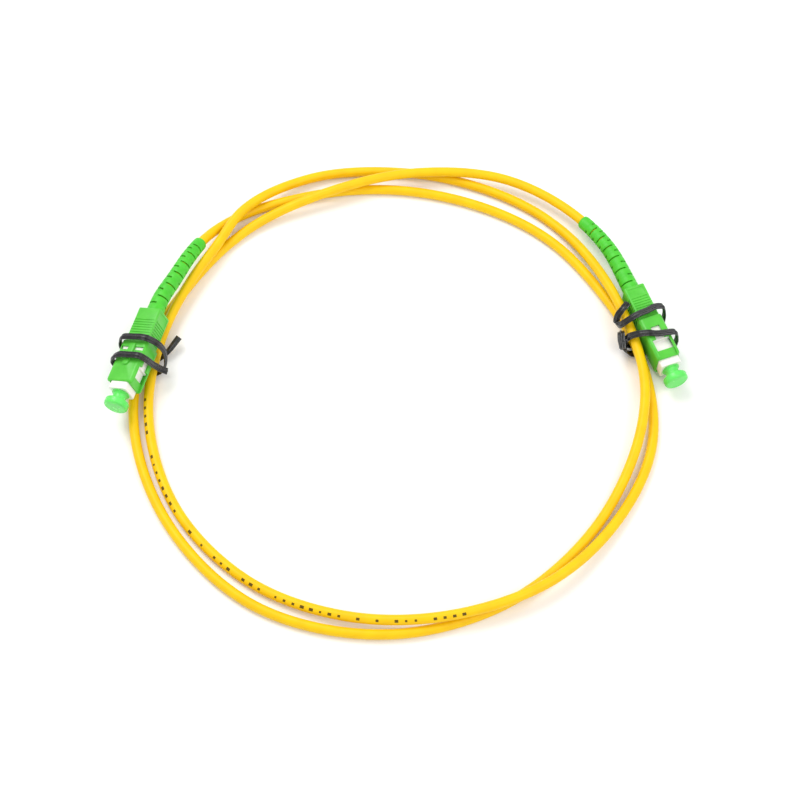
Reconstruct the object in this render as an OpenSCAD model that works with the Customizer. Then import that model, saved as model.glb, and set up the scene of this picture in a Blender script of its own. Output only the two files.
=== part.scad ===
// Fibre patch cord: a yellow 3 mm simplex cable laid in two and a bit loops on a table, with a
// green square push-pull plug and dust cap at each end and two twist ties. Units are mm, z is up.

/* [Cable] */
// outer diameter of the cable jacket
jacket_d = 3.0; // [2:0.1:3.2]
// wall of the cable jacket
jacket_wall = 0.5; // [0.3:0.05:0.6]
// diameter of the tight buffer around the glass
buffer_d = 0.9; // [0.6:0.1:0.9]
// spacing of the cable rings on the free cable
ring_step = 16; // [12:1:30]

/* [Outer housing] */
// width of the front section
house_w = 9.0; // [8.8:0.1:9.2]
// height of the front section
house_h = 7.4; // [7.2:0.1:7.6]
// length of the front section
front_len = 14.5; // [12:0.5:16]
// length of the whole housing
house_len = 26.5; // [26:0.1:27]
// width of the rear grip
grip_w = 7.6; // [7.2:0.1:8]
// height of the rear grip
grip_h = 6.6; // [6.4:0.1:7]
// spacing of the grip ribs
rib_pitch = 0.9; // [0.85:0.05:1]
// number of grip ribs
rib_count = 8; // [4:1:8]
// rear bore that the boot slides in
rear_bore_d = 5.7; // [5.6:0.1:5.9]
// height of the key
key_h = 0.6; // [0.4:0.1:0.8]

/* [Plug frame] */
// width of the plug frame
frame_w = 7.7; // [7.5:0.1:7.8]
// height of the plug frame
frame_h = 6.4; // [6.2:0.1:6.4]
// width of the frame's nose, ahead of the latch shoulders
nose_w = 6.0; // [5.6:0.1:6.4]
// how far the frame stands out of the housing
frame_out = 2.2; // [1.5:0.1:3]
// clearance between housing and frame, each side
slide_gap = 0.1; // [0.05:0.05:0.2]

/* [Ferrule] */
// ferrule diameter
ferrule_d = 2.499; // [2.49:0.001:2.5]
// ferrule length
ferrule_len = 10.5; // [9:0.5:11]
// fibre hole in the ferrule
fibre_d = 0.125; // [0.1:0.005:0.2]
// angle of the polished end
polish = 8; // [0:1:9]

/* [Boot] */
// boot diameter at the housing
boot_d = 5.5; // [5:0.1:5.7]
// boot diameter at the tip
boot_tip_d = 4.4; // [4:0.1:5]
// boot length
boot_len = 35; // [28:1:40]
// number of slots along the boot
slot_count = 12; // [8:2:16]

/* [Dust cap] */
// diameter of the cap head
cap_d = 7.3; // [6:0.1:8]
// thickness of the cap head
cap_head = 2.3; // [1.5:0.1:3]

/* [Twist ties] */
// width of the tie ribbon
tie_w = 2.1; // [1.8:0.1:3]
// thickness of the ribbon edges
tie_t = 0.44; // [0.3:0.02:0.6]
// thickness over the wire
tie_mid = 0.94; // [0.8:0.02:1.2]
// wire diameter
tie_wire_d = 0.4; // [0.3:0.05:0.5]

/* [Hidden] */
$fn = 48;
eps = 0.01;
// moves the whole layout so that the origin is under the middle of the plugs and ties
layout = [0.7, -27.5, 0.1];
// nose position, turn and roll of each plug
left_nose = [-81.9, 0.2, 8.7];
left_turn = 253.5;
left_roll = 19;
right_nose = [80.3, 10.2, 5.8];
right_turn = -70;
right_roll = -90;
// the cable's route, from the right plug round to the left plug
route = [
  [72.1, 32.7, 5.8], [69.7, 39.3, 5.8], [64.6, 51.8, 5.3], [34, 77.8, 4.7], [3, 80.3, 4.8],
  [-23, 73, 4.8], [-46, 62.3, 1.9], [-69.6, 33.2, 1.5], [-77.4, 17, 2.8], [-79.6, -3, 2.1],
  [-70, -36, 1.5], [-41, -66.5, 1.5], [0, -74.8, 1.5], [31, -65.2, 1.5], [59, -38.6, 1.5],
  [73.1, 3, 5.6], [66.9, 31, 5.8], [49, 62.5, 1.6], [0, 83, 1.5], [-30, 79.7, 2.2],
  [-50.4, 64.6, 5.2], [-57, 53.2, 4.7], [-64.4, 40.3, 4.6], [-71, 24.6, 4.1], [-75.2, -1, 2.4], [-64.5, -37, 1.5],
  [-43, -59, 1.5], [-12, -70.6, 3.0], [19, -69.6, 4.8], [43, -60, 4.8], [60, -44, 2.6],
  [74.8, -14, 1.5], [70.8, 20, 2.8], [62.6, 37, 1.7], [48, 56, 1.5], [0, 76, 1.5], [-32, 73, 1.5],
  [-50.3, 65.9, 1.8], [-57, 60.4, 3.2], [-61.5, 53.9, 5.8], [-64.9, 47.2, 7.8],
  [-68.7, 39, 8.6], [-73.1, 29.92, 8.7], [-73.95, 27.05, 8.7], [-75.07, 23.26, 8.7]];
// each tie's route beside its plug: a point, then the direction that the ribbon is wide in
left_tie = [
  [[-23.5, 6.4, -7.4], [0.41, 0.87, -0.25]], [[-21.5, 5.4, -7.8], [0.5, 0.8, -0.2]],
  [[-18.5, 3.9, -8.3], [0.8, 0.5, 0]], [[-15.5, 1, -8.6], [1, 0, 0]],
  [[-14, -3.2, -7.4], [1, 0, 0]], [[-13.6, -5.4, -2.5], [1, 0, 0]],
  [[-13.6, -5.5, 2.6], [1, 0, 0]], [[-14.3, -4.2, 4.8], [1, 0, 0]],
  [[-14.7, 0, 5.2], [1, 0, 0]], [[-14.7, 4.2, 5.0], [1, 0, 0]],
  [[-14.9, 6.3, 2.6], [1, 0, 0]], [[-14.9, 7.1, -1.7], [1, 0, 0]],
  [[-14.1, 6.6, -4.9], [1, 0, 0]], [[-12.6, 5.5, -7.6], [1, 0, 0]],
  [[-11.9, 4, -8.9], [1, 0, 0]], [[-11, 2, -9], [1, 0, 0]], [[-9.6, -1.3, -8.2], [1, 0, 0]], [[-8.8, -3.3, -7.0], [1, 0, 0]],
  [[-8, -4.4, -4.8], [1, 0, 0]], [[-7.2, -5.5, 0], [1, 0, 0]],
  [[-7.3, -5.2, 3.7], [1, 0, 0]], [[-8, -3, 5.1], [1, 0, 0]],
  [[-8.3, 1, 5.2], [1, 0, 0]], [[-8.4, 4.4, 4.9], [1, 0, 0]],
  [[-8.8, 5.6, 2], [1, 0, 0]], [[-9.4, 6, -1.5], [1, 0, 0]],
  [[-10, 7, -4.6], [1, 0, 0]], [[-10.4, 8, -6.2], [1, 0, 0]]];
right_tie = [
  [[-21.6, -3.4, -3.9], [0.4, 0, 0.9]], [[-20.3, -3.4, -6.2], [0.4, 0.6, 0.6]],
  [[-19, -1.5, -8.4], [1, 0.5, 0]], [[-17.8, 0, -8.9], [0.3, 1, 0.3]],
  [[-16.6, -0.9, -8.6], [1, 0.5, 0]], [[-16, -2.6, -7.6], [1, 0, 0]],
  [[-15.9, -4.3, -5.5], [1, 0, 0]], [[-16, -5.3, -3], [1, 0, 0]],
  [[-16.2, -5.4, 0], [1, 0, 0]], [[-16.6, -5.4, 2.9], [1, 0, 0]],
  [[-16.2, -4.9, 4.9], [1, 0, 0]], [[-15.6, -2.5, 5.5], [1, 0, 0]],
  [[-15.1, 1.8, 5.5], [1, 0, 0]], [[-14.5, 4.6, 4.9], [1, 0, 0]],
  [[-13.8, 5.2, 2.5], [1, 0, 0]], [[-12.8, 5.2, -2.5], [1, 0, 0]],
  [[-12.1, 5.2, -5.6], [1, 0, 0]], [[-11.7, 3.6, -7.9], [1, 0, 0]],
  [[-11.7, 0.6, -8.5], [1, 0, 0]], [[-11.2, -2.3, -7.7], [1, 0, 0]],
  [[-10, -4.4, -5.4], [1, 0, 0]], [[-8.8, -5.4, -2.9], [1, 0, 0]],
  [[-7.7, -5.4, -0.5], [1, 0, 0]], [[-7.1, -5.4, 2.4], [1, 0, 0]],
  [[-6.6, -5, 4.8], [1, 0, 0]], [[-6.2, -2.5, 5.5], [1, 0, 0]],
  [[-6.1, 1, 5.5], [1, 0, 0]], [[-6.4, 4.4, 4.9], [1, 0, 0]],
  [[-7.2, 5.2, 2.6], [1, 0, 0]], [[-8, 5.2, -1.5], [1, 0, 0]],
  [[-8.8, 5.3, -5.4], [1, 0, 0]], [[-9.1, 5.1, -7.2], [1, 0, 0]],
  [[-9.6, 4, -8.6], [1, 0, 0.3]], [[-10.6, 2.4, -9.6], [0.6, 0.4, 0.8]],
  [[-12.6, 1.3, -9.6], [0, 0.2, 1]], [[-14.1, 0.75, -9.1], [0, 0, 1]],
  [[-14.75, 0.05, -8.95], [0, 0, 1]], [[-14.1, -0.65, -9.1], [0, 0, 1]],
  [[-11.6, -0.6, -9.9], [0, 0, 1]], [[-9, -0.5, -10.8], [0, 0, 1]]];

// places along the plug's axis, zero at the front face of the outer housing
nose_rear_x = -6.2;
shoulder_x = -13.9;
frame_rear_x = -13.8;
flange_front_x = -5.5;
flange_rear_x = -8.5;
tail_rear_x = -11.8;
body_front_x = -12.6;
body_flange_x = -13.8;
body_rear_x = -18.5;
barrel_rear_x = -23;
route_start_x = -24.05;
buffer_end_x = -11;
yarn_end_x = -21.5;
boot_front_x = -22;
sleeve_step_x = -24.5;
sleeve_rear_x = -29;
cable_sides = 8;
boot_sides = 16;
boot_stations = 24;
tie_step = 1.9;
yarn_gap = 0.05;

// ---- curves ----
function span_sums(p) = [for (i = 0, s = 0; i < len(p);
  s = s + (i < len(p) - 1 ? norm(p[i + 1] - p[i]) : 0), i = i + 1) s];
function chord(p, s, i) = (p[i + 1] - p[i]) / (s[i + 1] - s[i]);
function slope(p, s, i) =
  i == 0 ? chord(p, s, 0) :
  i == len(p) - 1 ? chord(p, s, i - 1) :
  let (a = s[i] - s[i - 1], b = s[i + 1] - s[i])
  (chord(p, s, i) * a + chord(p, s, i - 1) * b) / (a + b);
function span_of(s, u) = max([for (k = [0 : len(s) - 2]) if (k == 0 || s[k] <= u) k]);
function at(p, s, u) =
  let (n = len(p) - 1, i = span_of(s, u), l = s[i + 1] - s[i], t = (u - s[i]) / l)
  u <= 0 ? p[0] + u * slope(p, s, 0) :
  u >= s[n] ? p[n] + (u - s[n]) * slope(p, s, n) :
  (2 * pow(t, 3) - 3 * t * t + 1) * p[i] + (pow(t, 3) - 2 * t * t + t) * l * slope(p, s, i)
  + (3 * t * t - 2 * pow(t, 3)) * p[i + 1] + (pow(t, 3) - t * t) * l * slope(p, s, i + 1);
function unit(v) = v / norm(v);
function heading(p, s, u) = unit(at(p, s, u + 0.05) - at(p, s, u - 0.05));

// ---- swept solids: a frame is [point, side, up], and an outline is a list of [side, up] ----
// the cable never dips below the table
function laid(v) = [v[0], v[1], max(v[2], jacket_d / 2)];
function level_frame(p, s, u) =
  let (t = unit(laid(at(p, s, u + 0.05)) - laid(at(p, s, u - 0.05))),
    side = unit(cross([0, 0, 1], t)))
  [laid(at(p, s, u)), side, cross(t, side)];
function ring(f, outline) = [for (q = outline) f[0] + q[0] * f[1] + q[1] * f[2]];
function polygon_outline(r, n) = [for (k = [0 : n - 1]) r * [cos((k + 0.5) * 360 / n),
  sin((k + 0.5) * 360 / n)]];
function scaled(outline, k) = [for (q = outline) q * k];
function flat(lists) = [for (l = lists) for (v = l) v];
function wall_faces(first, n, stations, stride, inward) = [
  for (j = [0 : stations - 2]) for (k = [0 : n - 1])
  let (a = first + j * stride + k, b = first + j * stride + (k + 1) % n, c = b + stride,
    d = a + stride)
  for (q = inward ? [[a, b, c], [a, c, d]] : [[a, c, b], [a, d, c]]) q];
function cap_faces(first, second, n, near) = [
  for (k = [0 : n - 1])
  let (a = first + k, b = first + (k + 1) % n, c = second + (k + 1) % n, d = second + k)
  for (q = near ? [[a, b, c], [a, c, d]] : [[a, c, b], [a, d, c]]) q];

module swept_rod(rings) {
  n = len(rings[0]);
  last = (len(rings) - 1) * n;
  polyhedron(flat(rings), concat(
    wall_faces(0, n, len(rings), n, false),
    [[for (k = [0 : n - 1]) k]],
    [[for (k = [0 : n - 1]) last + n - 1 - k]]), convexity = 20);
}

module swept_pipe(outer, inner) {
  n = len(outer[0]);
  m = len(outer);
  polyhedron(flat([for (j = [0 : m - 1]) concat(outer[j], inner[j])]), concat(
    wall_faces(0, n, m, 2 * n, false),
    wall_faces(n, n, m, 2 * n, true),
    cap_faces(0, n, n, true),
    cap_faces((m - 1) * 2 * n, (m - 1) * 2 * n + n, n, false)), convexity = 20);
}

// ---- cable ----
route_s = span_sums(route);
route_end = route_s[len(route_s) - 1];
function boot_span(i) = i < 3 || i > len(route) - 7;
function parts_in(i) = max(1, round((route_s[i + 1] - route_s[i]) / (boot_span(i) ? 5.5 : ring_step)));
free_stations = [for (i = [0 : len(route) - 2]) for (k = [(i == 0 ? 1 : 0) : parts_in(i) - 1])
  route_s[i] + (route_s[i + 1] - route_s[i]) * k / parts_in(i)];
function stations_to(end_x) = concat([route_start_x - end_x], free_stations,
  [route_end + end_x - route_start_x]);
function cable_rings(r, stations) = [for (u = stations)
  ring(level_frame(route, route_s, u), polygon_outline(r, cable_sides))];
jacket_in_r = jacket_d / 2 - jacket_wall;

module cable_jacket() {
  color([1, 0.84, 0])
  translate(layout)
  swept_pipe(cable_rings(jacket_d / 2, stations_to(barrel_rear_x)),
    cable_rings(jacket_in_r, stations_to(barrel_rear_x)));
}

module aramid_yarn() {
  color([0.93, 0.84, 0.45])
  translate(layout)
  swept_pipe(cable_rings(jacket_in_r - yarn_gap, stations_to(yarn_end_x)),
    cable_rings(buffer_d / 2 + yarn_gap, stations_to(yarn_end_x)));
}

module tight_buffer() {
  color([0.95, 0.95, 0.9])
  translate(layout)
  swept_rod(cable_rings(buffer_d / 2, stations_to(buffer_end_x)));
}

// ---- plug pieces, along +x, key up ----
module at_left() {
  translate(layout + left_nose)
  rotate([0, 0, left_turn])
  rotate([left_roll, 0, 0])
  children();
}

module at_right() {
  translate(layout + right_nose)
  rotate([0, 0, right_turn])
  rotate([right_roll, 0, 0])
  children();
}

module along(x0, x1) {
  translate([x0, 0, 0])
  rotate([0, 90, 0])
  linear_extrude(x1 - x0)
  children();
}

module slab(x0, x1, w, h) {
  translate([x0, -w / 2, -h / 2])
  cube([x1 - x0, w, h]);
}

module rounded_slab(x0, x1, w, h, r) {
  along(x0, x1)
  union() {
    square([h - 2 * r, w], center = true);
    square([h, w - 2 * r], center = true);
    for (a = [-1, 1])
      for (b = [-1, 1])
        translate([a * (h / 2 - r), b * (w / 2 - r)])
        circle(r, $fn = 24);
  }
}

module rod(x0, x1, d) {
  translate([x0, 0, 0])
  rotate([0, 90, 0])
  cylinder(h = x1 - x0, d = d);
}

module outer_housing() {
  corner_r = 1.1;
  window_front_x = -2.8;
  window_rear_x = -6.5;
  slot_rear_x = -10.9;
  window_h = 5.3;
  slot_h = 2.8;
  bar_recess = 0.9;
  groove_deep = 0.2;
  side_groove_margin = 0.7;
  groove_w = 0.4;
  flat_band = 4.2;
  key_w = 1.9;
  key_rear_x = -13;
  key_front_x = -5.6;
  top_window_w = 2.9;
  top_window_y = 2.4;
  cavity_w = frame_w + 2 * slide_gap;
  cavity_h = frame_h + 2 * slide_gap;
  difference() {
    union() {
      rounded_slab(-front_len, 0, house_w, house_h, corner_r);
      rounded_slab(-house_len, -front_len + eps, grip_w, grip_h, corner_r / 2);
      translate([key_rear_x, -key_w / 2, house_h / 2 - eps])
      cube([key_front_x - key_rear_x, key_w, key_h + eps]);
    }
    rounded_slab(shoulder_x, window_front_x, cavity_w, cavity_h, 0.4);
    rounded_slab(window_front_x - eps, 1, nose_w + 2 * slide_gap, cavity_h, 0.4);
    rod(-house_len - 1, shoulder_x + 1, rear_bore_d);
    for (m = [-1, 1]) {
      // side window, its slot and the recessed front bar
      translate([window_rear_x, m * house_w / 2 - 1, -window_h / 2])
      cube([window_front_x - window_rear_x, 2, window_h]);
      translate([slot_rear_x, m * house_w / 2 - 1, -slot_h / 2])
      cube([window_rear_x - slot_rear_x + 1, 2, slot_h]);
      translate([window_front_x - eps, m * (house_w / 2 - bar_recess + 1) - 1, -window_h / 2])
      cube([3, 2, window_h]);
      // windows beside the key
      translate([-12.2, m * top_window_y - top_window_w / 2, house_h / 2 - 1])
      cube([1.2, top_window_w, 2]);
      // grooves between the grip ribs
      for (k = [0 : rib_count - 1]) {
        translate([-house_len + flat_band + k * rib_pitch, -grip_w / 2 - 1,
          m * (grip_h / 2 - groove_deep + 1) - 1])
        cube([groove_w, grip_w + 2, 2]);
        translate([-house_len + flat_band + k * rib_pitch,
          m * (grip_w / 2 - groove_deep + 1) - 1, side_groove_margin - grip_h / 2])
        cube([groove_w, 2, grip_h - 2 * side_groove_margin]);
      }
    }
  }
}

module plug_frame() {
  front_bore_d = 4.9;
  wall_front_x = -4.5;
  rear_bore_d = 5.0;
  difference() {
    union() {
      rounded_slab(frame_rear_x, nose_rear_x, frame_w, frame_h, 0.7);
      rounded_slab(nose_rear_x - eps, frame_out, nose_w, frame_h, 0.7);
    }
    rod(wall_front_x, frame_out + 1, front_bore_d);
    rod(flange_front_x - 1, wall_front_x + 1, 3.2);
    rod(frame_rear_x - 1, flange_front_x, rear_bore_d);
  }
}

module ferrule() {
  tip_x = flange_rear_x + 0.8 + ferrule_len;
  difference() {
    union() {
      rod(flange_rear_x + 0.8, tip_x - 0.5, ferrule_d);
      translate([tip_x - 0.5, 0, 0])
      rotate([0, 90, 0])
      cylinder(h = 0.5, d1 = ferrule_d, d2 = 1.6);
    }
    rod(flange_rear_x, tip_x + 1, fibre_d);
    translate([tip_x - 0.12, 0, 0])
    rotate([0, -polish, 0])
    translate([0, -2, -2])
    cube([2, 4, 4]);
  }
}

module ferrule_flange() {
  flange_d = 4.4;
  tail_d = 2.2;
  tail_bore_d = 1.6;
  difference() {
    union() {
      rod(flange_rear_x, flange_front_x, flange_d);
      rod(tail_rear_x, flange_rear_x + eps, tail_d);
    }
    rod(flange_rear_x + 0.8, flange_front_x + 1, ferrule_d);
    rod(tail_rear_x - 1, flange_rear_x - 0.5, tail_bore_d);
    rod(flange_rear_x - 1, flange_rear_x + 1, 1.0);
    for (a = [0, 90, 180, 270])
      rotate([a, 0, 0])
      translate([flange_front_x - 1.6, flange_d / 2 - 0.5, -0.4])
      cube([2, 1, 0.8]);
  }
}

module spring() {
  turns = 4;
  per_turn = 14;
  wire_d = 0.4;
  coil_r = 1.9;
  x0 = body_front_x + 0.25;
  x1 = flange_rear_x - 0.25;
  count = turns * per_turn;
  rings = [for (k = [0 : count])
    let (a = k * 360 / per_turn, x = x0 + (x1 - x0) * k / count,
      out = [0, cos(a), sin(a)])
    ring([[x, 0, 0] + coil_r * out, [1, 0, 0], out], polygon_outline(wire_d / 2, 6))];
  swept_rod(rings);
}

module rear_body() {
  difference() {
    union() {
      rod(body_flange_x, body_front_x, 4.94);
      rod(body_rear_x, body_flange_x, 5.5);
      rod(barrel_rear_x, body_rear_x, 3.6);
      for (k = [0 : 2])
        rod(-22.6 + k * 1.2, -22.2 + k * 1.2, 3.6);
    }
    rod(-17, body_front_x + 1, 2.6);
    rod(-19, -16.5, 1.4);
    rod(barrel_rear_x - 1, body_rear_x, 2.6);
  }
}

module inner_tube() {
  difference() {
    rod(-19, -11.5, 1.4);
    rod(-20, -11, 1.04);
  }
}

module crimp_sleeve() {
  rotate([0, 90, 0])
  rotate_extrude()
  polygon([
    [1.83, -18.8], [2.25, -18.8], [2.25, sleeve_step_x + 0.4], [1.9, sleeve_step_x - 0.4],
    [1.9, sleeve_rear_x], [1.62, sleeve_rear_x], [1.62, sleeve_step_x - 0.1], [1.83, sleeve_step_x + 0.2]]);
}

function boot_out_r(u) = u < 1.5 ? boot_d / 2 :
  boot_d / 2 + (boot_tip_d - boot_d) / 2 * min(1, (u - 1.5) / (boot_len - 3)) - (u > boot_len - 0.5 ? 0.3 : 0);
function boot_in_r(u) = u < 3.05 ? 2.32 : u < 7.3 ? 1.98 : 1.68;
boot_u = concat([0, 1.5, 3, 3.1, 5, 7.25, 7.35], [for (k = [1 : boot_stations]) 7.35 + (boot_len - 7.85) * k
  / boot_stations], [boot_len]);
function boot_place(dir, u) =
  let (s = u + route_start_x - boot_front_x)
  level_frame(route, route_s, dir > 0 ? s : route_end - s);

// the slots close up toward the tip
function slot_place(k) = 7.2 + 2.6 * k - 0.042 * k * (k - 1);

module boot_shape(dir) {
  slot_w = 0.8;
  difference() {
    swept_pipe(
      [for (k = [0 : len(boot_u) - 1]) ring(boot_place(dir, boot_u[dir > 0 ? k : len(boot_u) - 1 - k]),
        polygon_outline(boot_out_r(boot_u[dir > 0 ? k : len(boot_u) - 1 - k]), boot_sides))],
      [for (k = [0 : len(boot_u) - 1]) ring(boot_place(dir, boot_u[dir > 0 ? k : len(boot_u) - 1 - k]),
        polygon_outline(boot_in_r(boot_u[dir > 0 ? k : len(boot_u) - 1 - k]), boot_sides))]);
    for (k = [0 : slot_count - 1])
      for (m = [-1, 1]) {
        u = slot_place(k);
        f = boot_place(dir, u);
        out = (k % 2 == 0 ? f[2] : f[1]) * m;
        t = cross(f[1], f[2]);
        wide = cross(out, t);
        multmatrix([
          [t[0], wide[0], out[0], f[0][0]], [t[1], wide[1], out[1], f[0][1]],
          [t[2], wide[2], out[2], f[0][2]], [0, 0, 0, 1]])
        translate([-slot_w / 2, k % 2 == 0 ? -1.7 : -1.1, 1.35])
        cube([slot_w, k % 2 == 0 ? 3.4 : 2.2, 3]);
      }
  }
}

module dust_cap() {
  head_x = frame_out + 2.7;
  rotate([0, 90, 0])
  rotate_extrude()
  polygon([
    [1.27, -3.5], [2.2, -3.5], [2.2, frame_out], [2.7, frame_out + 0.02], [2.7, frame_out + 0.6],
    [2.05, frame_out + 1.2], [2.05, head_x - 0.3], [2.4, head_x],
    [cap_d / 2 - 0.5, head_x], [cap_d / 2, head_x + 0.5], [cap_d / 2, head_x + cap_head - 0.7],
    [cap_d / 2 - 0.7, head_x + cap_head], [0, head_x + cap_head], [0, frame_out + 1.2],
    [1.27, frame_out + 1.2]]);
}

// ---- twist ties ----
function tie_frame(p, w, s, u) =
  let (t = heading(p, s, u), raw = at(w, s, u), side = unit(raw - (raw * t) * t))
  [at(p, s, u), side, cross(t, side)];
function tie_outline() = [
  [tie_w / 2, tie_t / 2], [tie_mid * 0.6, tie_t * 0.55], [tie_mid * 0.25, tie_mid / 2],
  [-tie_mid * 0.25, tie_mid / 2], [-tie_mid * 0.6, tie_t * 0.55], [-tie_w / 2, tie_t / 2],
  [-tie_w / 2, -tie_t / 2], [-tie_mid * 0.6, -tie_t * 0.55], [-tie_mid * 0.25, -tie_mid / 2],
  [tie_mid * 0.25, -tie_mid / 2], [tie_mid * 0.6, -tie_t * 0.55], [tie_w / 2, -tie_t / 2]];
function bore_outline(r) = [for (a = [30, 50, 75, 105, 130, 150, 210, 230, 255, 285, 310, 330])
  r * [cos(a), sin(a)]];
function tie_frames(tie) =
  let (p = [for (q = tie) q[0]], w = [for (q = tie) q[1]], s = span_sums(p),
    n = round(s[len(s) - 1] / tie_step))
  [for (k = [0 : n]) tie_frame(p, w, s, s[len(s) - 1] * k / n)];

module tie_ribbon(tie) {
  f = tie_frames(tie);
  swept_pipe([for (q = f) ring(q, tie_outline())],
    [for (q = f) ring(q, bore_outline(tie_wire_d / 2 + 0.03))]);
}

module tie_wire(tie) {
  swept_rod([for (q = tie_frames(tie)) ring(q, polygon_outline(tie_wire_d / 2, 6))]);
}

green = [0.31, 0.8, 0.25];
white = [0.93, 0.92, 0.88];
steel = [0.75, 0.76, 0.78];
black = [0.13, 0.13, 0.14];

module outer_housing_left() { color(green) at_left() outer_housing(); }
module plug_frame_left() { color(white) at_left() plug_frame(); }
module ferrule_left() { color([0.97, 0.97, 0.95]) at_left() ferrule(); }
module ferrule_flange_left() { color(steel) at_left() ferrule_flange(); }
module spring_left() { color(steel) at_left() spring(); }
module rear_body_left() { color(steel) at_left() rear_body(); }
module inner_tube_left() { color(white) at_left() inner_tube(); }
module crimp_sleeve_left() { color(steel) at_left() crimp_sleeve(); }
module boot_left() { color(green) translate(layout) boot_shape(-1); }
module dust_cap_left() { color([0.43, 0.93, 0.4]) at_left() dust_cap(); }
module outer_housing_right() { color(green) at_right() outer_housing(); }
module plug_frame_right() { color(white) at_right() plug_frame(); }
module ferrule_right() { color([0.97, 0.97, 0.95]) at_right() ferrule(); }
module ferrule_flange_right() { color(steel) at_right() ferrule_flange(); }
module spring_right() { color(steel) at_right() spring(); }
module rear_body_right() { color(steel) at_right() rear_body(); }
module inner_tube_right() { color(white) at_right() inner_tube(); }
module crimp_sleeve_right() { color(steel) at_right() crimp_sleeve(); }
module boot_right() { color(green) translate(layout) boot_shape(1); }
module dust_cap_right() { color([0.43, 0.93, 0.4]) at_right() dust_cap(); }
module tie_left() { color(black) at_left() tie_ribbon(left_tie); }
module tie_wire_left() { color(steel) at_left() tie_wire(left_tie); }
module tie_right() { color(black) at_right() tie_ribbon(right_tie); }
module tie_wire_right() { color(steel) at_right() tie_wire(right_tie); }

cable_jacket();
aramid_yarn();
tight_buffer();
outer_housing_left();
plug_frame_left();
ferrule_left();
ferrule_flange_left();
spring_left();
rear_body_left();
inner_tube_left();
crimp_sleeve_left();
boot_left();
dust_cap_left();
outer_housing_right();
plug_frame_right();
ferrule_right();
ferrule_flange_right();
spring_right();
rear_body_right();
inner_tube_right();
crimp_sleeve_right();
boot_right();
dust_cap_right();
tie_left();
tie_wire_left();
tie_right();
tie_wire_right();
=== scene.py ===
import bmesh
import bpy
import math
import numpy as np
from mathutils import Matrix


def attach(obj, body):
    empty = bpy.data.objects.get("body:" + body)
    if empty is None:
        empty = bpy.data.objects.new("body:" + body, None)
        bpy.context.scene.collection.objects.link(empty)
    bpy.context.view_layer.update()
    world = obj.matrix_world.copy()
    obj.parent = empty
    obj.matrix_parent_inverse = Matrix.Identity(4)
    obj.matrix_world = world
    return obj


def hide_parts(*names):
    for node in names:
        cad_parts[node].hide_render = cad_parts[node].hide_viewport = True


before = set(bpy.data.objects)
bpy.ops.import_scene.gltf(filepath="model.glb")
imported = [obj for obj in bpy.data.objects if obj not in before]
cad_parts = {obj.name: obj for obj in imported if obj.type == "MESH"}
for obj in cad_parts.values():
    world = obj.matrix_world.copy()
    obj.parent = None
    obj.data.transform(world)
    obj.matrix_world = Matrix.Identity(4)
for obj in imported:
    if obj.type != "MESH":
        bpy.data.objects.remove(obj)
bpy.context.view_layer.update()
MM = 0.001

# ---------------------------------------------------------------- layout, with the same points as part.scad
# the layout and the route are in metres; a tie is in its plug's millimetres, as (place, width direction)
LAYOUT = np.array((0.0007, -0.0275, 0.0001))
ROUTE = np.array([
    (0.0721, 0.0327, 0.0058), (0.0697, 0.0393, 0.0058), (0.0646, 0.0518, 0.0053), (0.034, 0.0778, 0.0047),
    (0.003, 0.0803, 0.0048), (-0.023, 0.073, 0.0048), (-0.046, 0.0623, 0.0019), (-0.0696, 0.0332, 0.0015),
    (-0.0774, 0.017, 0.0028), (-0.0796, -0.003, 0.0021), (-0.07, -0.036, 0.0015), (-0.041, -0.0665, 0.0015),
    (0, -0.0748, 0.0015), (0.031, -0.0652, 0.0015), (0.059, -0.0386, 0.0015), (0.0731, 0.003, 0.0056),
    (0.0669, 0.031, 0.0058), (0.049, 0.0625, 0.0016), (0, 0.083, 0.0015), (-0.03, 0.0797, 0.0022),
    (-0.0504, 0.0646, 0.0052), (-0.057, 0.0532, 0.0047), (-0.0644, 0.0403, 0.0046), (-0.071, 0.0246, 0.0041),
    (-0.0752, -0.001, 0.0024), (-0.0645, -0.037, 0.0015), (-0.043, -0.059, 0.0015), (-0.012, -0.0706, 0.003),
    (0.019, -0.0696, 0.0048), (0.043, -0.06, 0.0048), (0.06, -0.044, 0.0026), (0.0748, -0.014, 0.0015),
    (0.0708, 0.02, 0.0028), (0.0626, 0.037, 0.0017), (0.048, 0.056, 0.0015), (0, 0.076, 0.0015),
    (-0.032, 0.073, 0.0015), (-0.0503, 0.0659, 0.0018), (-0.057, 0.0604, 0.0032), (-0.0615, 0.0539, 0.0058),
    (-0.0649, 0.0472, 0.0078), (-0.0687, 0.039, 0.0086), (-0.0731, 0.02992, 0.0087), (-0.07395, 0.02705, 0.0087),
    (-0.07507, 0.02326, 0.0087)])
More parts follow.
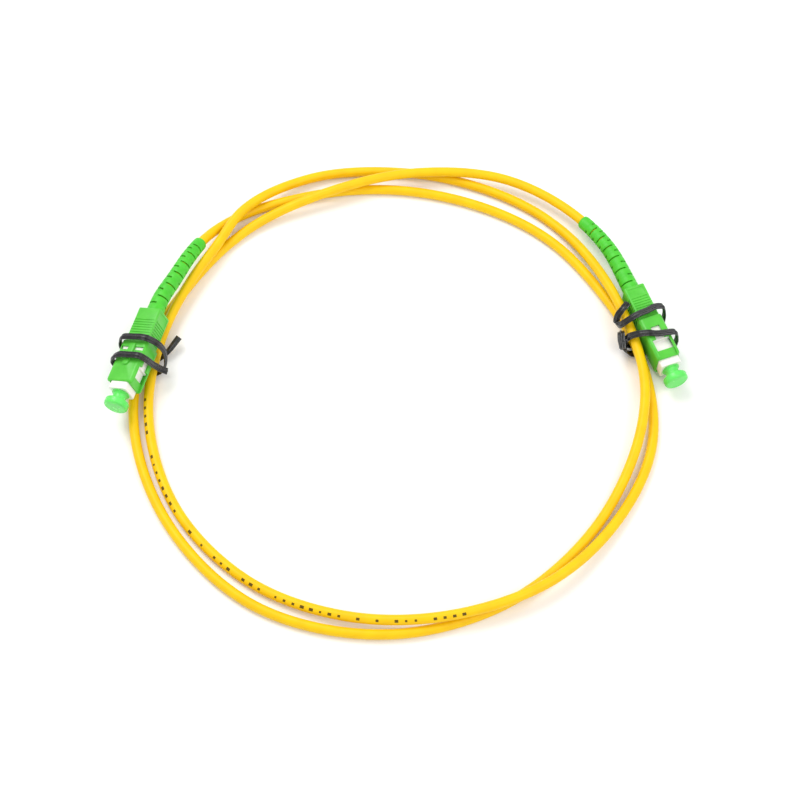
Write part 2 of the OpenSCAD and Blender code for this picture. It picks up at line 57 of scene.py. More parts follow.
LEFT_TIE = [
    ((-23.5, 6.4, -7.4), (0.41, 0.87, -0.25)), ((-21.5, 5.4, -7.8), (0.5, 0.8, -0.2)),
    ((-18.5, 3.9, -8.3), (0.8, 0.5, 0)), ((-15.5, 1, -8.6), (1, 0, 0)), ((-14, -3.2, -7.4), (1, 0, 0)),
    ((-13.6, -5.4, -2.5), (1, 0, 0)), ((-13.6, -5.5, 2.6), (1, 0, 0)), ((-14.3, -4.2, 4.8), (1, 0, 0)),
    ((-14.7, 0, 5.2), (1, 0, 0)), ((-14.7, 4.2, 5), (1, 0, 0)), ((-14.9, 6.3, 2.6), (1, 0, 0)),
    ((-14.9, 7.1, -1.7), (1, 0, 0)), ((-14.1, 6.6, -4.9), (1, 0, 0)), ((-12.6, 5.5, -7.6), (1, 0, 0)),
    ((-11.9, 4, -8.9), (1, 0, 0)), ((-11, 2, -9), (1, 0, 0)), ((-9.6, -1.3, -8.2), (1, 0, 0)),
    ((-8.8, -3.3, -7), (1, 0, 0)), ((-8, -4.4, -4.8), (1, 0, 0)), ((-7.2, -5.5, 0), (1, 0, 0)),
    ((-7.3, -5.2, 3.7), (1, 0, 0)), ((-8, -3, 5.1), (1, 0, 0)), ((-8.3, 1, 5.2), (1, 0, 0)),
    ((-8.4, 4.4, 4.9), (1, 0, 0)), ((-8.8, 5.6, 2), (1, 0, 0)), ((-9.4, 6, -1.5), (1, 0, 0)),
    ((-10, 7, -4.6), (1, 0, 0)), ((-10.4, 8, -6.2), (1, 0, 0))]
RIGHT_TIE = [
    ((-21.6, -3.4, -3.9), (0.4, 0, 0.9)), ((-20.3, -3.4, -6.2), (0.4, 0.6, 0.6)),
    ((-19, -1.5, -8.4), (1, 0.5, 0)),
    ((-17.8, 0, -8.9), (0.3, 1, 0.3)), ((-16.6, -0.9, -8.6), (1, 0.5, 0)), ((-16, -2.6, -7.6), (1, 0, 0)),
    ((-15.9, -4.3, -5.5), (1, 0, 0)), ((-16, -5.3, -3), (1, 0, 0)), ((-16.2, -5.4, 0), (1, 0, 0)),
    ((-16.6, -5.4, 2.9), (1, 0, 0)), ((-16.2, -4.9, 4.9), (1, 0, 0)), ((-15.6, -2.5, 5.5), (1, 0, 0)),
    ((-15.1, 1.8, 5.5), (1, 0, 0)), ((-14.5, 4.6, 4.9), (1, 0, 0)), ((-13.8, 5.2, 2.5), (1, 0, 0)),
    ((-12.8, 5.2, -2.5), (1, 0, 0)), ((-12.1, 5.2, -5.6), (1, 0, 0)), ((-11.7, 3.6, -7.9), (1, 0, 0)),
    ((-11.7, 0.6, -8.5), (1, 0, 0)), ((-11.2, -2.3, -7.7), (1, 0, 0)), ((-10, -4.4, -5.4), (1, 0, 0)),
    ((-8.8, -5.4, -2.9), (1, 0, 0)), ((-7.7, -5.4, -0.5), (1, 0, 0)), ((-7.1, -5.4, 2.4), (1, 0, 0)),
    ((-6.6, -5, 4.8), (1, 0, 0)), ((-6.2, -2.5, 5.5), (1, 0, 0)), ((-6.1, 1, 5.5), (1, 0, 0)),
    ((-6.4, 4.4, 4.9), (1, 0, 0)), ((-7.2, 5.2, 2.6), (1, 0, 0)), ((-8, 5.2, -1.5), (1, 0, 0)),
    ((-8.8, 5.3, -5.4), (1, 0, 0)), ((-9.1, 5.1, -7.2), (1, 0, 0)), ((-9.6, 4, -8.6), (1, 0, 0.3)),
    ((-10.6, 2.4, -9.6), (0.6, 0.4, 0.8)), ((-12.6, 1.3, -9.6), (0, 0.2, 1)), ((-14.1, 0.75, -9.1), (0, 0, 1)),
    ((-14.75, 0.05, -8.95), (0, 0, 1)), ((-14.1, -0.65, -9.1), (0, 0, 1)), ((-11.6, -0.6, -9.9), (0, 0, 1)),
    ((-9, -0.5, -10.8), (0, 0, 1))]


def pose(nose_mm, turn, roll):
    """The matrix that takes a plug's own millimetres to the row frame."""
    place = Matrix.Translation([LAYOUT[i] + nose_mm[i] * MM for i in range(3)])
    spin = Matrix.Rotation(math.radians(turn), 4, "Z") @ Matrix.Rotation(math.radians(roll), 4, "X")
    return place @ spin @ Matrix.Scale(MM, 4)


PLUGS = {"left": pose((-81.9, 0.2, 8.7), 253.5, 19), "right": pose((80.3, 10.2, 5.8), -70, -90)}

# ---------------------------------------------------------------- camera
AIM = LAYOUT + np.array((0.0, 0.0, 0.0015))
ELEVATION = math.radians(61.4)
DISTANCE = 0.5563
camera = bpy.data.objects.new("camera", bpy.data.cameras.new("camera"))
bpy.context.scene.collection.objects.link(camera)
camera.data.lens = 83.54
camera.data.sensor_width = 36
camera.data.clip_start = 0.01
camera.data.clip_end = 20
camera.location = AIM + DISTANCE * np.array((0.0, -math.cos(ELEVATION), math.sin(ELEVATION)))
camera.rotation_euler = (math.pi / 2 - ELEVATION, 0, 0)
bpy.context.scene.camera = camera


# ---------------------------------------------------------------- curves
class Spline:
    """The same curve as part.scad's: Hermite spans whose parameter is the length along the points."""

    def __init__(self, points):
        self.p = np.array(points, float)
        self.s = np.r_[0, np.cumsum(np.linalg.norm(np.diff(self.p, axis=0), axis=1))]
        chord = np.diff(self.p, axis=0) / np.diff(self.s)[:, None]
        gap = np.diff(self.s)
        inner = (chord[1:] * gap[:-1, None] + chord[:-1] * gap[1:, None]) / (gap[1:] + gap[:-1])[:, None]
        self.m = np.vstack([chord[:1], inner, chord[-1:]])

    def at(self, u):
        u = np.atleast_1d(np.asarray(u, float))
        i = np.clip(np.searchsorted(self.s, u, side="right") - 1, 0, len(self.s) - 2)
        length = (self.s[i + 1] - self.s[i])
        t = np.clip((u - self.s[i]) / length, 0, 1)
        a, b, c, d = 2 * t**3 - 3 * t**2 + 1, t**3 - 2 * t**2 + t, 3 * t**2 - 2 * t**3, t**3 - t**2
        out = (a[:, None] * self.p[i] + (b * length)[:, None] * self.m[i] + c[:, None] * self.p[i + 1]
               + (d * length)[:, None] * self.m[i + 1])
        out += np.minimum(u, 0)[:, None] * self.m[0]
        out += np.maximum(u - self.s[-1], 0)[:, None] * self.m[-1]
        return out


def unit(v):
    return v / np.linalg.norm(v, axis=-1, keepdims=True)


def link(name, mesh, body, replaces=()):
    obj = bpy.data.objects.new(name, mesh)
    bpy.context.scene.collection.objects.link(obj)
    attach(obj, body)
    if replaces:
        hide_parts(*replaces)
    return obj


def smooth(mesh, angle=None):
    mesh.polygons.foreach_set("use_smooth", [True] * len(mesh.polygons))
    if angle is not None:
        mesh.set_sharp_from_angle(angle=math.radians(angle))
    mesh.update()


def swept_mesh(name, points, side, up, outline, hole=None, u_scale=1.0):
    """A tube: outline is (n, 2) or (stations, n, 2); hole is a matching inner outline, for a pipe."""
    m = len(points)

    def rings(o):
        o = np.asarray(o, float)
        o = np.broadcast_to(o, (m,) + o.shape[-2:])
        return points[:, None] + o[..., :1] * side[:, None] + o[..., 1:] * up[:, None]

    outer = rings(outline)
    n = outer.shape[1]
    arc = np.r_[0, np.cumsum(np.linalg.norm(np.diff(points, axis=0), axis=1))] * u_scale
    verts, faces, uvs = [outer.reshape(-1, 3)], [], []
    for j in range(m - 1):
        for k in range(n):
            q = (k + 1) % n
            faces.append((j * n + k, j * n + q, (j + 1) * n + q, (j + 1) * n + k))
            v0, v1 = k / n, (k + 1) / n
            uvs.append(((arc[j], v0), (arc[j], v1), (arc[j + 1], v1), (arc[j + 1], v0)))
    if hole is None:
        faces.append(tuple(range(n))[::-1])
        uvs.append([(0.0, 0.0)] * n)
        faces.append(tuple((m - 1) * n + k for k in range(n)))
        uvs.append([(0.0, 0.0)] * n)
    else:
        verts.append(rings(hole).reshape(-1, 3))
        base = m * n
        for j in range(m - 1):
            for k in range(n):
                q = (k + 1) % n
                near, far = base + j * n, base + (j + 1) * n
                faces.append((near + k, far + k, far + q, near + q))
                uvs.append([(0.0, 0.0)] * 4)
        for j, flip in ((0, False), (m - 1, True)):
            for k in range(n):
                q = (k + 1) % n
                f = (j * n + k, base + j * n + k, base + j * n + q, j * n + q)
                faces.append(f[::-1] if flip else f)
                uvs.append([(0.0, 0.0)] * 4)
    mesh = bpy.data.meshes.new(name)
    mesh.from_pydata(np.vstack(verts).tolist(), [], faces)
    layer = mesh.uv_layers.new(name="along")
    layer.data.foreach_set("uv", [c for f in uvs for p in f for c in p])
    return mesh


def circle_outline(r, n, phase=0.0):
    a = np.arange(n) * 2 * math.pi / n + phase
    return np.stack([r * np.cos(a), r * np.sin(a)], axis=1)


# ---------------------------------------------------------------- the cable
route = Spline(ROUTE)
ROUTE_START_X, BARREL_X, YARN_X, BUFFER_X = -24.05, -23.0, -21.5, -11.0


def laid(u):
    p = route.at(u)
    p[:, 2] = np.maximum(p[:, 2], 0.0015)
    return p


def cable_frames(u):
    t = unit(laid(u + 0.0002) - laid(u - 0.0002))
    side = unit(np.cross((0, 0, 1.0), t))
    return laid(u) + LAYOUT, side, np.cross(t, side)


def stations(end_x, step):
    lead = (end_x - ROUTE_START_X) * MM
    count = int(round((route.s[-1] + 2 * lead) / step))
    return np.linspace(-lead, route.s[-1] + lead, count + 1)


jacket_u = stations(BARREL_X, 0.0012)
points, side, up = cable_frames(jacket_u)
jacket_mesh = swept_mesh("jacket", points, side, up, circle_outline(0.0015, 28), circle_outline(0.001, 28))
jacket = link("jacket", jacket_mesh, "cord", ["cable_jacket"])
smooth(jacket.data, 50)
for name, end_x, r, hole, slot_name, node in (
        ("yarn_fibres", YARN_X, 0.00095, 0.0005, "aramid", "aramid_yarn"),
        ("buffer_tube", BUFFER_X, 0.00045, None, "white_buffer", "tight_buffer")):
    u = stations(end_x, 0.003)
    points, side, up = cable_frames(u)
    piece = link(name, swept_mesh(name, points, side, up, circle_outline(r, 16),
                                  None if hole is None else circle_outline(hole, 16)), "cord", [node])
    smooth(piece.data, 50)


# ---------------------------------------------------------------- boots
def boot(which, sign):
    """A round tapered sleeve along the cable, with staggered slots cut through it."""
    length, front, count, slot_w, n = 35.0, -22.0, 12, 0.5, 48
    slots = [7.2 + 2.6 * k - 0.042 * k * (k - 1) for k in range(count)]
    u = [0.0, 0.06, 0.2, 1.5, 3.0, 3.1, 5.0]
    for place in slots:
        u += [place - 0.5 * slot_w - 0.14, place - 0.5 * slot_w, place + 0.5 * slot_w, place + 0.5 * slot_w + 0.14]
    u += list(np.arange(slots[-1] + 0.8, length - 1.4, 0.6))
    u += [length - 1.3, length - 0.9, length - 0.55, length - 0.3, length - 0.12, length - 0.02, length]
    u = np.array(sorted(u))
    m = len(u)
    r = 2.75 - 0.6 * np.clip((u - 2.0) / (length - 3.0), 0, 1)
    nose = np.clip((u - (length - 1.0)) / 1.0, 0, 1)
    r = r - 0.5 * (1 - np.sqrt(np.clip(1 - nose**2, 0, 1)))
    r = np.where(u < 0.2, r - 0.15 * (1 - u / 0.2), r)
    bore = np.where(u < 3.05, 2.32, np.where(u < 7.3, 1.98, 1.56))
    r = np.maximum(r, bore + 0.03)
    # each segment is a little fatter than the slots' lips beside it
    lips = np.min(np.abs(u[:, None] - np.array(slots)[None]), axis=1) < 0.5 * slot_w + 0.01
    r = np.where(lips, r - 0.06, r)
    s = (u + ROUTE_START_X - front) * MM
    points, side, up = cable_frames(s if sign > 0 else route.s[-1] - s)
    ang = np.arange(n) * 2 * math.pi / n
    ring = np.stack([np.cos(ang), np.sin(ang)], axis=1)
    around = ring[None, :, :1] * side[:, None] + ring[None, :, 1:] * up[:, None]
    outer = points[:, None] + MM * r[:, None, None] * around
    inner = points[:, None] + MM * bore[:, None, None] * around
    # two opposite slots at each place, turned a quarter turn from one place to the next
    cut = np.zeros((m - 1, n), bool)
    first = 62.0 if sign > 0 else 142.0
    for k, place in enumerate(slots):
        j = int(np.argmin(np.abs(0.5 * (u[:-1] + u[1:]) - place)))
        for turn in (0, 180):
            off = (np.degrees(ang) + 180 / n - first - 90 * (k % 2) - turn + 180) % 360 - 180
            cut[j] |= np.abs(off) < 52
    verts = np.vstack([outer.reshape(-1, 3), inner.reshape(-1, 3)])
    faces = []
    half_count = m * n

    def quad(a, b, c, d):
        faces.append((a, b, c, d) if sign > 0 else (d, c, b, a))

    for j in range(m - 1):
        for k in range(n):
            q = (k + 1) % n
            a, b, c, d = j * n + k, j * n + q, (j + 1) * n + q, (j + 1) * n + k
            if cut[j, k]:
                if not cut[j, (k - 1) % n]:
                    quad(a, d, half_count + d, half_count + a)
                if not cut[j, q]:
                    quad(c, b, half_count + b, half_count + c)
                if j and not cut[j - 1, k]:
                    quad(b, a, half_count + a, half_count + b)
                if j < m - 2 and not cut[j + 1, k]:
                    quad(d, c, half_count + c, half_count + d)
                continue
            quad(a, b, c, d)
            quad(half_count + a, half_count + d, half_count + c, half_count + b)
    for j, near in ((0, True), (m - 1, False)):
        for k in range(n):
            q = (k + 1) % n
            a, b = j * n + k, j * n + q
            if near:
                quad(a, half_count + a, half_count + b, b)
            else:
                quad(b, half_count + b, half_count + a, a)
    mesh = bpy.data.meshes.new("boot_sleeve_" + which)
    mesh.from_pydata(verts.tolist(), [], faces)
    smooth(mesh, 40)
    return link("boot_sleeve_" + which, mesh, "cord", ["boot_" + which])


# ---------------------------------------------------------------- twist ties
def tie(which, route_mm):
    """A ribbed vinyl ribbon, swept along its route with its width held to the given directions."""
    p = Spline([q[0] for q in route_mm])
    widths = np.array([q[1] for q in route_mm], float)
    count = int(p.s[-1] / 0.22)
    u = np.linspace(0, p.s[-1], count + 1)
    pts = p.at(u)
    t = unit(p.at(u + 0.05) - p.at(u - 0.05))
    raw = np.stack([np.interp(u, p.s, widths[:, i]) for i in range(3)], axis=1)
    kernel = np.hanning(9) / np.hanning(9).sum()
    raw = np.stack([np.convolve(np.pad(column, 4, mode="edge"), kernel, mode="valid") for column in raw.T], axis=1)
    side = unit(raw - (raw * t).sum(1, keepdims=True) * t)
    up = np.cross(t, side)
    half = [(1.05, 0.0), (1.03, 0.13), (0.95, 0.21), (0.85, 0.19), (0.77, 0.11), (0.69, 0.11), (0.61, 0.2),
            (0.51, 0.25), (0.43, 0.19), (0.36, 0.19), (0.28, 0.33), (0.16, 0.44), (0.05, 0.47)]
    top = half + [(-x, y) for x, y in half[::-1]]
    outline = np.array(top + [(-x, -y) for x, y in top[1:-1]])
    wobble = 1 + 0.02 * np.sin(u * 2.1) + 0.015 * np.sin(u * 5.3 + 1)
    shaped = outline[None] * np.stack([np.ones_like(u), wobble], axis=1)[:, None]
    mesh = swept_mesh("ribbon_" + which, pts, side, up, shaped, u_scale=MM)
    mesh.transform(PLUGS[which])
    smooth(mesh, 60)
    return link("ribbon_" + which, mesh, "cord", ["tie_" + which])


# ---------------------------------------------------------------- plug shells, in the plug's own millimetres
def temp(mesh):
    obj = bpy.data.objects.new("temp", mesh)
    bpy.context.scene.collection.objects.link(obj)
    return obj


def box(x0, x1, y0, y1, z0, z1):
    mesh = bpy.data.meshes.new("box")
    v = [(x, y, z) for x in (x0, x1) for y in (y0, y1) for z in (z0, z1)]
    mesh.from_pydata(v, [], [(0, 1, 3, 2), (4, 6, 7, 5), (0, 4, 5, 1), (2, 3, 7, 6), (0, 2, 6, 4), (1, 5, 7, 3)])
    return temp(mesh)


def prism(x0, x1, w, h, r, n=6, end0=0.0, end1=0.0):
    """A box along x with rounded long edges, and its ends drawn in by a rounded lip."""
    corner = []
    for cx, cy, a0 in ((w / 2 - r, h / 2 - r, 0), (-w / 2 + r, h / 2 - r, 90), (-w / 2 + r, -h / 2 + r, 180),
                       (w / 2 - r, -h / 2 + r, 270)):
        for k in range(n + 1):
            a = math.radians(a0 + 90 * k / n)
            corner.append((cx + r * math.cos(a), cy + r * math.sin(a)))
    corner = np.array(corner)
    normal = np.array([(math.cos(math.radians(a0 + 90 * k / n)), math.sin(math.radians(a0 + 90 * k / n)))
                       for a0 in (0, 90, 180, 270) for k in range(n + 1)])
    rows = []
    if end0:
        rows += [(x0 + end0 * (1 - math.sin(math.radians(a))), end0 * (1 - math.cos(math.radians(a))))
                 for a in (90, 60, 30)]
    rows.append((x0 + end0, 0.0))
    rows.append((x1 - end1, 0.0))
    if end1:
        rows += [(x1 - end1 * (1 - math.sin(math.radians(a))), end1 * (1 - math.cos(math.radians(a))))
                 for a in (30, 60, 90)]
    verts, m = [], len(corner)
    for x, inset in rows:
        verts += [(x, c[0] - inset * d[0], c[1] - inset * d[1]) for c, d in zip(corner, normal)]
    faces = [(j * m + k, j * m + (k + 1) % m, (j + 1) * m + (k + 1) % m, (j + 1) * m + k)
             for j in range(len(rows) - 1) for k in range(m)]
    faces.append(tuple(range(m))[::-1])
    faces.append(tuple((len(rows) - 1) * m + k for k in range(m)))
    mesh = bpy.data.meshes.new("prism")
    mesh.from_pydata(verts, [], faces)
    return temp(mesh)


def drum(name, verts, n):
    """A closed drum from two rings of n points."""
    faces = [(k, (k + 1) % n, n + (k + 1) % n, n + k) for k in range(n)]
    faces += [tuple(range(n))[::-1], tuple(range(n, 2 * n))]
    mesh = bpy.data.meshes.new(name)
    mesh.from_pydata(verts, [], faces)
    return temp(mesh)


def rod(x0, x1, d, n=48):
    a = np.arange(n) * 2 * math.pi / n
    return drum("rod", [(x, d / 2 * math.cos(q), d / 2 * math.sin(q)) for x in (x0, x1) for q in a], n)


def pin(x, r, z0, z1, n=24):
    """A short upright disc, for the key's rounded front."""
    a = np.arange(n) * 2 * math.pi / n
    return drum("pin", [(x + r * math.cos(q), r * math.sin(q), z) for z in (z0, z1) for q in a], n)


def cut_and_join(base, joins, cuts, bevel=0.0, segments=2):
    """Booleans in millimetres, then a small bevel, as one clean mesh."""
    for tool, kind in [(j, "UNION") for j in joins] + [(c, "DIFFERENCE") for c in cuts]:
        mod = base.modifiers.new("b", "BOOLEAN")
        mod.object, mod.operation, mod.solver = tool, kind, "EXACT"
    if bevel:
        mod = base.modifiers.new("bevel", "BEVEL")
        mod.width, mod.segments, mod.limit_method, mod.angle_limit = bevel, segments, "ANGLE", math.radians(50)
        mod.use_clamp_overlap = True
    graph = bpy.context.evaluated_depsgraph_get()
    mesh = bpy.data.meshes.new_from_object(base.evaluated_get(graph))
    for o in [base] + joins + cuts:
        bpy.data.objects.remove(o)
    return mesh


def outer_housing():
    base = prism(-14.5, 0, 9.0, 7.4, 1.1, end1=0.8, end0=0.3)
    grip = prism(-26.5, -13.8, 7.6, 6.6, 0.55, n=4, end0=0.3)
    key = box(-13, -6.5, -0.95, 0.95, 3.4, 4.3)
    key_nose = pin(-6.55, 0.95, 3.4, 4.3)
    cuts = [prism(-13.9, -2.8, 7.9, 6.6, 0.4, n=3), prism(-2.9, 1, 6.2, 6.6, 0.4, n=3), rod(-27.5, -13, 5.7)]
    for m in (-1, 1):
        def side(x0, x1, d0, d1, z0, z1):
            ys = sorted((m * (4.5 - d0), m * (4.5 + d1)))
            return box(x0, x1, ys[0], ys[1], z0, z1)
        cuts += [side(-6.5, -2.8, 1.5, 1, -2.65, 2.65), side(-10.9, -6.0, 1.5, 1, -1.4, 1.4),
                 side(-2.81, 0.5, 0.9, 1, -2.65, 2.65)]
        cuts.append(box(-12.2, -11.0, m * 2.4 - 1.45, m * 2.4 + 1.45, 2.8, 5))
        for k in range(8):
            x = -22.3 + 0.9 * k
            zs = sorted((m * 3.1, m * 4.5))
            cuts.append(box(x, x + 0.4, -5, 5, zs[0], zs[1]))
            ys = sorted((m * 3.6, m * 5.0))
            cuts.append(box(x, x + 0.4, ys[0], ys[1], -2.6, 2.6))
        # the shallow panel at the rear
        ys = sorted((m * 3.66, m * 5.0))
        cuts.append(box(-25.6, -23.0, ys[0], ys[1], -2.4, 2.4))
    return cut_and_join(base, [grip, key, key_nose], cuts, 0.06)


def plug_frame():
    base = prism(-13.8, -6.2, 7.7, 6.4, 0.7, end1=0.4)
    nose = prism(-6.6, 2.2, 6.0, 6.4, 0.85, end1=0.3)
    cuts = [rod(-4.5, 3, 4.9), rod(-6, -4, 3.2), rod(-14.5, -5.5, 5.0)]
    return cut_and_join(base, [nose], cuts, 0.06)


def lathe(name, profile, n=56):
    """profile is a closed loop of (x, radius), or one that ends on the axis."""
    verts, faces, m = [], [], len(profile)
    for k in range(n):
        a = 2 * math.pi * k / n
        verts += [(x, r * math.cos(a), r * math.sin(a)) for x, r in profile]
    for k in range(n):
        q = (k + 1) % n
        for j in range(m):
            i = (j + 1) % m
            faces.append((k * m + j, k * m + i, q * m + i, q * m + j))
    mesh = bpy.data.meshes.new(name)
    mesh.from_pydata(verts, [], faces)
    bm = bmesh.new()
    bm.from_mesh(mesh)
    bmesh.ops.remove_doubles(bm, verts=bm.verts, dist=1e-5)
    bmesh.ops.dissolve_degenerate(bm, edges=bm.edges, dist=1e-5)
    bmesh.ops.recalc_face_normals(bm, faces=bm.faces)
    bm.to_mesh(mesh)
    bm.free()
    return mesh


def arc(cx, cr, r, a0, a1, n=6):
    return [(cx + r * math.cos(math.radians(a0 + (a1 - a0) * k / n)),
             cr + r * math.sin(math.radians(a0 + (a1 - a0) * k / n))) for k in range(n + 1)]


def dust_cap():
    profile = [(-3.5, 1.27), (-3.5, 2.05), (-3.35, 2.2), (2.2, 2.2), (2.21, 2.6)]
    profile += arc(2.45, 2.5, 0.2, 150, 0, 4)
    profile += [(2.95, 2.25), (3.3, 2.07), (4.2, 2.03)]
    profile += [(4.6, 2.1), (4.85, 2.35)]
    profile += [(4.9, 2.8), (4.93, 3.2)]
    profile += arc(5.4, 3.2, 0.45, 170, 90, 5)
    profile += arc(6.4, 2.85, 0.8, 90, 0, 7)
    profile += [(7.2, 2.0), (7.2, 0.0), (3.4, 0.0), (3.4, 1.27)]
    return lathe("cap", profile)


def plug(which):
    """The housing, the frame and the dust cap of one plug."""
    place = PLUGS[which]
    for name, mesh, body, slot_name, node, angle in (
            ("shell_" + which, outer_housing(), "housing_" + which, "green_plastic", "outer_housing_" + which, 30),
            ("frame_shell_" + which, plug_frame(), "cord", "white_plastic", "plug_frame_" + which, 30),
            ("cap_" + which, dust_cap(), "cap_" + which, "clear_green", "dust_cap_" + which, 50)):
        mesh.transform(place)
        mesh.name = name
        smooth(mesh, angle)
        link(name, mesh, body, [node])


for which, sign in (("left", -1), ("right", 1)):
    plug(which)
    boot(which, sign)
tie("left", LEFT_TIE)
tie("right", RIGHT_TIE)


# ---------------------------------------------------------------- materials
def srgb(r, g, b):
    def lin(c):
        c /= 255
        return c / 12.92 if c <= 0.04045 else ((c + 0.055) / 1.055) ** 2.4
    return (lin(r), lin(g), lin(b), 1)


def material(name, color, color2, rough, rough2, scale, bump, bump_scale, metal=0.0,
             coat=0.0, subsurface=0.0, transmission=0.0, ior=1.46):
    """A surface mottled by one noise in colour and roughness, with a fine grain from another."""
    mat = bpy.data.materials.new(name)
    mat.use_nodes = True
    nodes, links = mat.node_tree.nodes, mat.node_tree.links
    shader = nodes["Principled BSDF"]
    coord = nodes.new("ShaderNodeTexCoord")
    noise = nodes.new("ShaderNodeTexNoise")
    noise.inputs["Scale"].default_value = scale
    noise.inputs["Detail"].default_value = 4
    links.new(coord.outputs["Object"], noise.inputs["Vector"])
    ramp = nodes.new("ShaderNodeValToRGB")
    ramp.color_ramp.elements[0].position = 0.35
    ramp.color_ramp.elements[1].position = 0.65
    ramp.color_ramp.elements[0].color = color
    ramp.color_ramp.elements[1].color = color2
    links.new(noise.outputs["Fac"], ramp.inputs["Fac"])
    links.new(ramp.outputs["Color"], shader.inputs["Base Color"])
    spread = nodes.new("ShaderNodeMapRange")
    spread.inputs["To Min"].default_value = rough
    spread.inputs["To Max"].default_value = rough2
    links.new(noise.outputs["Fac"], spread.inputs["Value"])
    links.new(spread.outputs["Result"], shader.inputs["Roughness"])
    fine = nodes.new("ShaderNodeTexNoise")
    fine.inputs["Scale"].default_value = bump_scale
    fine.inputs["Detail"].default_value = 3
    links.new(coord.outputs["Object"], fine.inputs["Vector"])
    relief = nodes.new("ShaderNodeBump")
    relief.inputs["Strength"].default_value = bump
    relief.inputs["Distance"].default_value = 0.00004
    links.new(fine.outputs["Fac"], relief.inputs["Height"])
    links.new(relief.outputs["Normal"], shader.inputs["Normal"])
    shader.inputs["Metallic"].default_value = metal
    shader.inputs["IOR"].default_value = ior
    shader.inputs["Coat Weight"].default_value = coat
    shader.inputs["Coat Roughness"].default_value = 0.15
    shader.inputs["Subsurface Weight"].default_value = subsurface
    if subsurface:
        shader.inputs["Subsurface Radius"].default_value = (0.4, 1.0, 0.3)
        shader.inputs["Subsurface Scale"].default_value = 0.0008
    shader.inputs["Transmission Weight"].default_value = transmission
    return mat


def print_strokes(mat, start=0.685, end=0.84, around=0.35, pitch=0.0027):
    """A row of plain strokes in brown ink along the jacket, placed by its own UV map."""
    nodes, links = mat.node_tree.nodes, mat.node_tree.links

    def math_node(operation, a, b=0.0):
        node = nodes.new("ShaderNodeMath")
        node.operation = operation
        for socket, value in zip(node.inputs, (a, b)):
            if isinstance(value, float):
                socket.default_value = value
            else:
                links.new(value, socket)
        return node.outputs[0]

    def within(value, centre, half):
        off = math_node("ABSOLUTE", math_node("SUBTRACT", value, centre))
        return math_node("LESS_THAN", off, half)

    uv = nodes.new("ShaderNodeUVMap")
    uv.uv_map = "along"
    split = nodes.new("ShaderNodeSeparateXYZ")
    links.new(uv.outputs["UV"], split.inputs["Vector"])
    cell = math_node("DIVIDE", split.outputs["X"], pitch)
    noise = nodes.new("ShaderNodeTexWhiteNoise")
    noise.noise_dimensions = "1D"
    links.new(math_node("FLOOR", cell), noise.inputs["W"])
    chance = noise.outputs["Value"]
    stroke = within(math_node("FRACT", cell), 0.5,
                    math_node("ADD", math_node("MULTIPLY", chance, 0.15), 0.08))
    half = math_node("ADD", math_node("MULTIPLY", chance, 0.02), 0.03)
    mask = within(split.outputs["Y"], around, half)
    for part in (stroke, math_node("GREATER_THAN", chance, 0.2),
                 within(split.outputs["X"], (start + end) / 2, (end - start) / 2)):
        mask = math_node("MULTIPLY", mask, part)
    shader = nodes["Principled BSDF"]
    base = shader.inputs["Base Color"].links[0].from_socket
    mix = nodes.new("ShaderNodeMix")
    mix.data_type = "RGBA"
    links.new(mask, mix.inputs[0])
    links.new(base, mix.inputs[6])
    mix.inputs[7].default_value = srgb(96, 74, 10)
    links.new(mix.outputs[2], shader.inputs["Base Color"])


def put(mat, *names):
    for name in names:
        obj = bpy.data.objects[name] if name in bpy.data.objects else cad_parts[name]
        obj.data.materials.clear()
        obj.data.materials.append(mat)


green = material("green_moulded", srgb(80, 190, 54), srgb(90, 200, 62), 0.3, 0.4, 260, 0.12, 3500,
                 subsurface=0.15)
rubber = material("green_boot", srgb(66, 190, 36), srgb(76, 200, 46), 0.42, 0.55, 300, 0.2, 3000,
                  subsurface=0.15)
white = material("white_moulded", srgb(244, 242, 236), srgb(236, 233, 226), 0.3, 0.4, 300, 0.08, 3000,
                 subsurface=0.1)
clear = material("clear_green_cap", srgb(105, 240, 105), srgb(120, 246, 118), 0.22, 0.3, 300, 0.08, 1500,
                 subsurface=0.35, transmission=0.25)
vinyl = material("black_vinyl", srgb(12, 12, 14), srgb(24, 24, 27), 0.18, 0.3, 900, 0.35, 2200, coat=0.5)
yellow = material("yellow_jacket", srgb(243, 198, 0), srgb(238, 190, 0), 0.4, 0.5, 220, 0.12, 2600)
yellow.node_tree.nodes["Principled BSDF"].inputs["Specular IOR Level"].default_value = 0.3
aramid = material("aramid_floss", srgb(226, 205, 120), srgb(205, 180, 90), 0.6, 0.75, 1500, 0.6, 4000)
buffer_mat = material("buffer_white", srgb(244, 243, 236), srgb(236, 234, 228), 0.35, 0.45, 600, 0.1, 3000)
zirconia = material("zirconia", srgb(248, 247, 242), srgb(240, 239, 233), 0.08, 0.14, 500, 0.02, 4000, coat=0.3)
steel = material("turned_steel", srgb(190, 192, 196), srgb(170, 172, 176), 0.28, 0.42, 1400, 0.25, 5000,
                 metal=1.0)
crimp = material("crimped_sleeve", srgb(205, 204, 200), srgb(186, 185, 180), 0.3, 0.5, 900, 0.4, 2600,
                 metal=1.0)

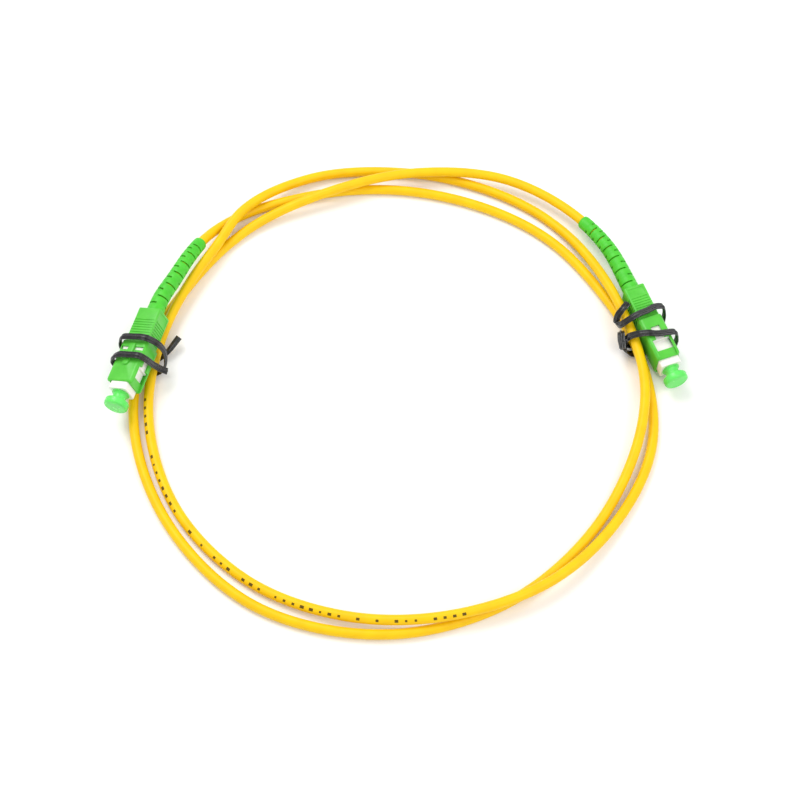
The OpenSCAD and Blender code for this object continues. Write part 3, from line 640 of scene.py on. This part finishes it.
print_strokes(yellow)
put(yellow, "jacket")
put(aramid, "yarn_fibres")
put(buffer_mat, "buffer_tube")
for which in ("left", "right"):
    put(green, "shell_" + which)
    put(rubber, "boot_sleeve_" + which)
    put(white, "frame_shell_" + which)
    put(clear, "cap_" + which)
    put(vinyl, "ribbon_" + which)
    put(zirconia, "ferrule_" + which)
    put(steel, "ferrule_flange_" + which, "spring_" + which, "rear_body_" + which, "tie_wire_" + which)
    put(crimp, "crimp_sleeve_" + which)
    put(white, "inner_tube_" + which)

# ---------------------------------------------------------------- floor and lights
floor_mesh = bpy.data.meshes.new("floor")
floor_mesh.from_pydata([(-6, -6, 0), (6, -6, 0), (6, 6, 0), (-6, 6, 0)], [], [(0, 1, 2, 3)])
floor = bpy.data.objects.new("floor", floor_mesh)
bpy.context.scene.collection.objects.link(floor)
floor_mat = material("floor_white", (0.93, 0.93, 0.93, 1), (0.94, 0.94, 0.94, 1), 0.7, 0.8, 20, 0.0, 50)
floor_mesh.materials.append(floor_mat)

world = bpy.data.worlds.new("studio")
world.use_nodes = True
world.node_tree.nodes["Background"].inputs["Color"].default_value = (1, 1, 1, 1)
world.node_tree.nodes["Background"].inputs["Strength"].default_value = 0.75
bpy.context.scene.world = world


def axes(z):
    z = unit(np.array(z, float))
    x = unit(np.cross((0, 1, 0.01), z))
    return x, np.cross(z, x), z


def area(name, place, aim, size, power):
    """A soft square light at place, facing aim."""
    data = bpy.data.lights.new(name, "AREA")
    data.shape, data.size, data.energy = "SQUARE", size, power
    obj = bpy.data.objects.new(name, data)
    obj.location = place
    way = np.array(aim, float) - np.array(place, float)
    obj.rotation_euler = Matrix(np.column_stack(axes(-way)).tolist()).to_euler()
    bpy.context.scene.collection.objects.link(obj)


area("key", (-0.35, 0.35, 0.8), (0, 0, 0), 0.5, 4.4)
area("fill", (0.5, -0.3, 0.7), (0, 0, 0), 0.7, 3.0)
bpy.context.scene.view_settings.view_transform = "Standard"
bpy.context.scene.view_settings.look = "None"
